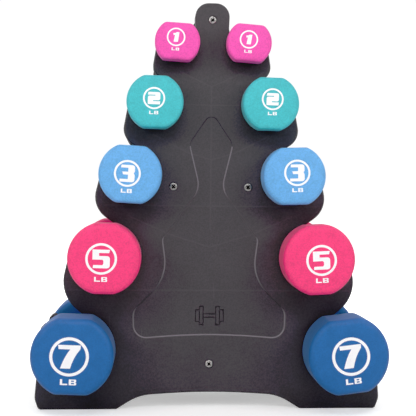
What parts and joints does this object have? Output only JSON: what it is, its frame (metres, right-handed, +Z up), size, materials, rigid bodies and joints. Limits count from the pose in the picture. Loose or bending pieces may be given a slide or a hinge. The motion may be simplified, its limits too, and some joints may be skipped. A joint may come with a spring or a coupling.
{
  "type": "dumbbell rack",
  "caption": "Tree-shaped moulded dumbbell rack of two side frames joined by tubes, with pairs of neoprene-coated dumbbells that lift out of its open cradles.",
  "frame": {"origin": "on the floor under the middle of the rack, midway between the two side frames", "axes": "+X to the right of the rack seen from the front, +Y from the front frame to the rear frame, along the dumbbells, +Z up"},
  "size_m": [0.3572, 0.194, 0.4193],
  "materials": {
    "frame_plastic": "fine moulded texture",
    "tube_plastic": "smooth satin",
    "insert_nylon": "smooth",
    "screw_steel": "bright nickel",
    "iron": "as cast",
    "neoprene_magenta": "matte dipped neoprene",
    "neoprene_teal": "matte dipped neoprene",
    "neoprene_sky": "matte dipped neoprene",
    "neoprene_rose": "matte dipped neoprene",
    "neoprene_blue": "matte dipped neoprene"
  },
  "bodies": {
    "rack": {"front_panel": "frame_plastic", "rear_panel": "frame_plastic", "top_spacer": "tube_plastic", "left_spacer": "tube_plastic", "right_spacer": "tube_plastic", "bottom_spacer": "tube_plastic", "spacer_inserts": "insert_nylon", "front_panel_screws": "screw_steel", "rear_panel_screws": "screw_steel"},
    "dumbbell_1_left": {"core_1_left": "iron", "coat_1_left": "neoprene_magenta"},
    "dumbbell_1_right": {"core_1_right": "iron", "coat_1_right": "neoprene_magenta"},
    "dumbbell_2_left": {"core_2_left": "iron", "coat_2_left": "neoprene_teal"},
    "dumbbell_2_right": {"core_2_right": "iron", "coat_2_right": "neoprene_teal"},
    "dumbbell_3_left": {"core_3_left": "iron", "coat_3_left": "neoprene_sky"},
    "dumbbell_3_right": {"core_3_right": "iron", "coat_3_right": "neoprene_sky"},
    "dumbbell_5_left": {"core_5_left": "iron", "coat_5_left": "neoprene_rose"},
    "dumbbell_5_right": {"core_5_right": "iron", "coat_5_right": "neoprene_rose"},
    "dumbbell_7_left": {"core_7_left": "iron", "coat_7_left": "neoprene_blue"},
    "dumbbell_7_right": {"core_7_right": "iron", "coat_7_right": "neoprene_blue"}
  },
  "joints": [
    {"name": "dumbbell_1_left_lift", "type": "slide", "parent": "rack", "child": "dumbbell_1_left", "axis": [-0.5878, 0, 0.809], "range_m": [0, 0.16]},
    {"name": "dumbbell_1_right_lift", "type": "slide", "parent": "rack", "child": "dumbbell_1_right", "axis": [0.5878, 0, 0.809], "range_m": [0, 0.16]},
    {"name": "dumbbell_2_left_lift", "type": "slide", "parent": "rack", "child": "dumbbell_2_left", "axis": [-0.5878, 0, 0.809], "range_m": [0, 0.16]},
    {"name": "dumbbell_2_right_lift", "type": "slide", "parent": "rack", "child": "dumbbell_2_right", "axis": [0.5878, 0, 0.809], "range_m": [0, 0.16]},
    {"name": "dumbbell_3_left_lift", "type": "slide", "parent": "rack", "child": "dumbbell_3_left", "axis": [-0.5878, 0, 0.809], "range_m": [0, 0.16]},
    {"name": "dumbbell_3_right_lift", "type": "slide", "parent": "rack", "child": "dumbbell_3_right", "axis": [0.5878, 0, 0.809], "range_m": [0, 0.16]},
    {"name": "dumbbell_5_left_lift", "type": "slide", "parent": "rack", "child": "dumbbell_5_left", "axis": [-0.6018, 0, 0.7986], "range_m": [0, 0.16]},
    {"name": "dumbbell_5_right_lift", "type": "slide", "parent": "rack", "child": "dumbbell_5_right", "axis": [0.6018, 0, 0.7986], "range_m": [0, 0.16]},
    {"name": "dumbbell_7_left_lift", "type": "slide", "parent": "rack", "child": "dumbbell_7_left", "axis": [-0.5534, 0, 0.8329], "range_m": [0, 0.16]},
    {"name": "dumbbell_7_right_lift", "type": "slide", "parent": "rack", "child": "dumbbell_7_right", "axis": [0.5534, 0, 0.8329], "range_m": [0, 0.16]}
  ]
}
